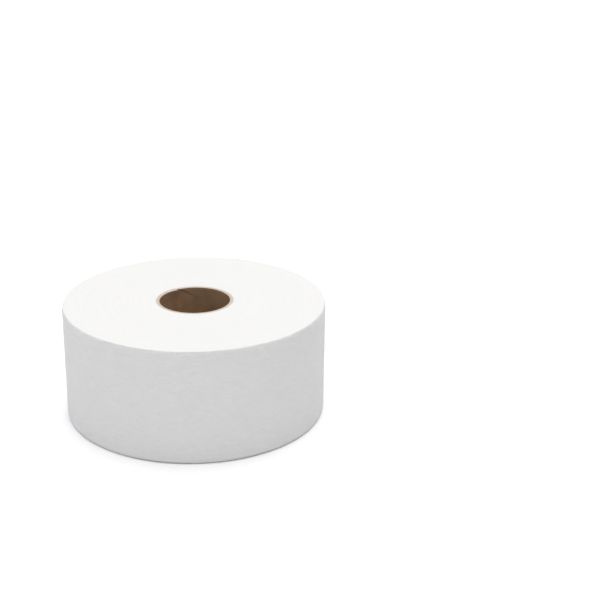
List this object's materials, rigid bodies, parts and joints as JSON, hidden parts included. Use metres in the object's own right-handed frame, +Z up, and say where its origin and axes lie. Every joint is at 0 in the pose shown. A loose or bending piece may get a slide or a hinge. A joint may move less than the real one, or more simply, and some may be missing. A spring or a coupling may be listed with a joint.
{
  "type": "toilet paper roll",
  "caption": "Wide jumbo roll of white toilet tissue wound on a brown kraft-board core, standing on its end.",
  "frame": {"origin": "middle of the end that the roll stands on, on the core's axis", "axes": "+Z up along the core's axis, +X to the right and -Y toward the viewer in the picture's view"},
  "size_m": [0.2116, 0.2114, 0.0925],
  "materials": {
    "kraft_board": "matt",
    "tissue": "matt"
  },
  "bodies": {
    "root": {"core": "kraft_board", "tissue_winding": "tissue"}
  },
  "joints": []
}
